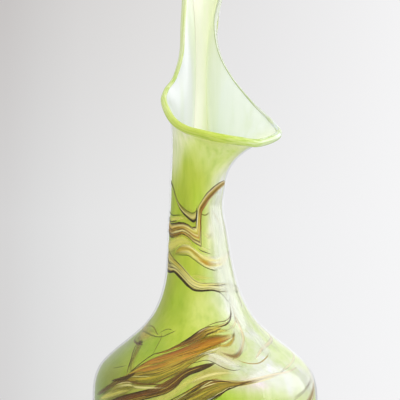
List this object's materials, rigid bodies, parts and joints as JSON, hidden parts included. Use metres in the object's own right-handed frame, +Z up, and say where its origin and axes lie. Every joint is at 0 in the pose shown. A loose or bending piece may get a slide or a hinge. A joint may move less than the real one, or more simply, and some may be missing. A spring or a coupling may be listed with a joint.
{
  "type": "vase",
  "caption": "Hand blown glass vase with a round belly, a narrow neck and a flared mouth drawn up into a tall petal; lime and opal layers with amber and brown trails under clear glass.",
  "frame": {"origin": "middle of the foot, at the height of the surface the vase stands on", "axes": "+Z up through the neck, -Y towards the low front lip"},
  "size_m": [0.14, 0.14, 0.3841],
  "materials": {
    "clear": "clear, polished by the fire",
    "lime": "dense lime-green glass, glossy",
    "opal": "opal-white glass, glossy",
    "lip": "bright lime glass thread, glossy",
    "dark_brown": "dark brown glass, glossy",
    "brown": "brown glass, glossy",
    "tan": "tan glass, glossy",
    "olive": "olive glass, glossy",
    "amber": "amber glass, glossy",
    "orange": "amber-orange glass, glossy",
    "beige": "beige glass, glossy"
  },
  "bodies": {
    "root": {"clear_casing": "clear", "lime_layer": "lime", "opal_lining": "opal", "lip_wrap": "lip", "neck_v_trail": "brown", "neck_amber_trail": "amber", "neck_wave_trail": "tan", "neck_amber_arc": "amber", "neck_brown_trail": "dark_brown", "shoulder_thread": "dark_brown", "shoulder_loop_trail": "olive", "shoulder_smear": "olive", "shoulder_amber_trail": "orange", "belly_brown_trail": "dark_brown", "belly_olive_trail": "olive", "right_shoulder_trail": "beige", "right_arc_trail": "beige", "right_low_arc_trail": "beige", "right_edge_trail": "brown", "low_brown_trail": "brown", "back_brown_trail": "dark_brown", "back_amber_trail": "orange", "back_shoulder_trail": "tan"}
  },
  "joints": []
}
